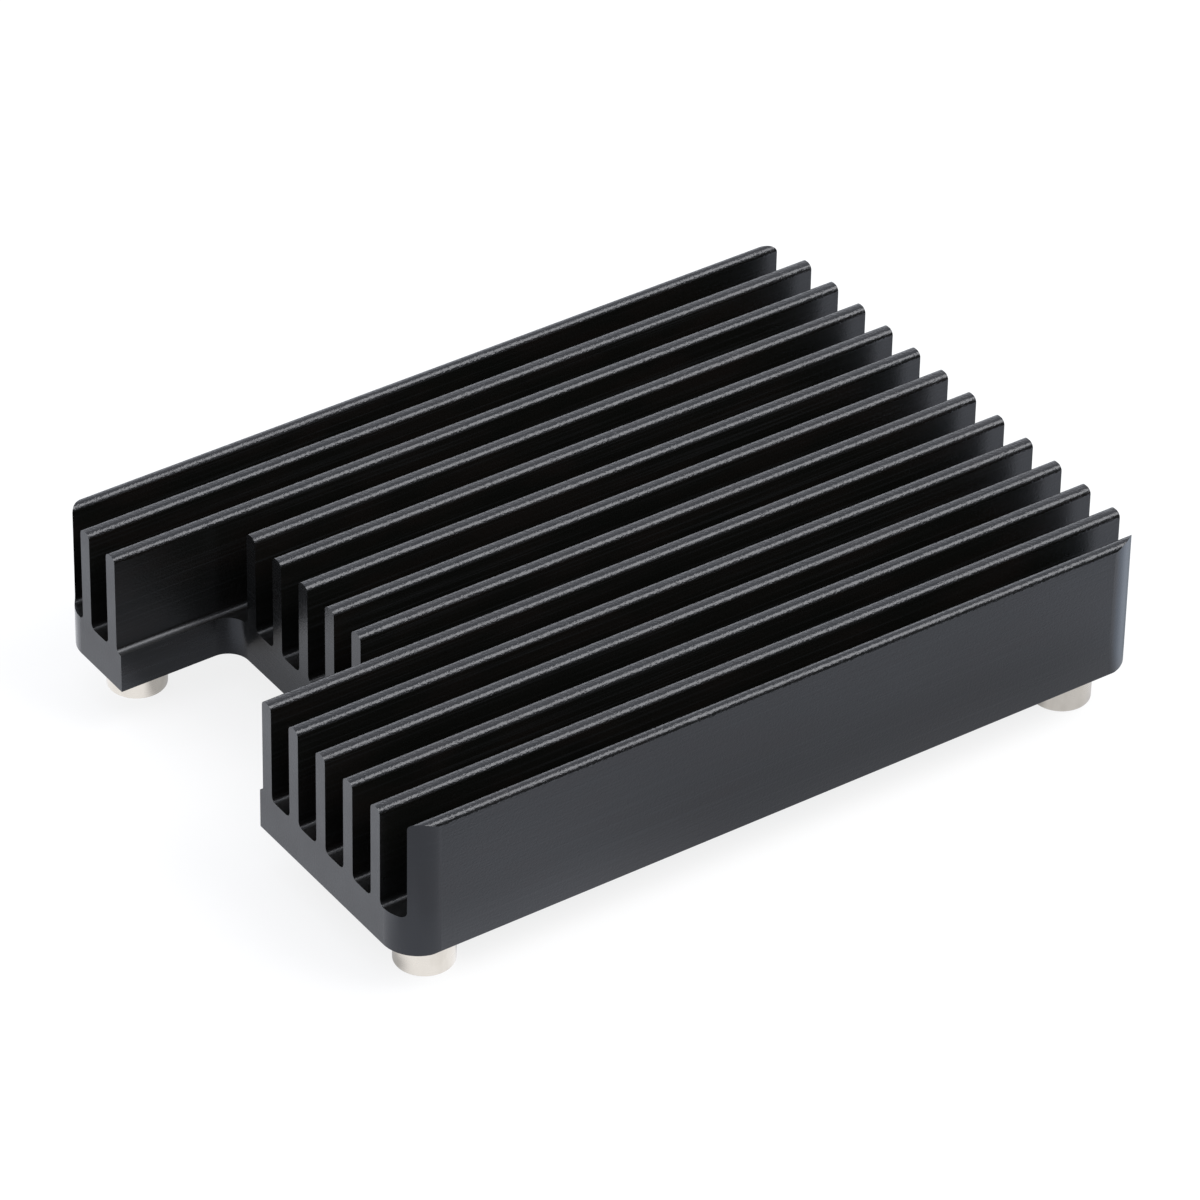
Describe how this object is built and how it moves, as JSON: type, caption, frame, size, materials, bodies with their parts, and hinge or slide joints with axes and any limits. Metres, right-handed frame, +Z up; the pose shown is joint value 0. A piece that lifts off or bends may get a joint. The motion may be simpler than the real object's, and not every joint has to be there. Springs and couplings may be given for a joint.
{
  "type": "finned heat sink",
  "caption": "Black anodised aluminium heat sink with straight fins, rounded corners and an antenna notch at one end, on round threaded standoffs.",
  "frame": {"origin": "on the surface that the standoffs stand on, under the middle of the body", "axes": "+X runs along the fins, away from the notched end, and +Z is up, from the standoffs to the fin tips"},
  "size_m": [0.055, 0.0398, 0.013],
  "materials": {
    "anodised_aluminium": "black anodised, satin, with fine die lines along the fins",
    "nickel_plate": "satin nickel plate over turned brass"
  },
  "bodies": {
    "root": {"heat_sink_body": "anodised_aluminium", "standoff_front_right": "nickel_plate", "standoff_front_left": "nickel_plate", "standoff_rear_right": "nickel_plate", "standoff_rear_left": "nickel_plate"}
  },
  "joints": []
}
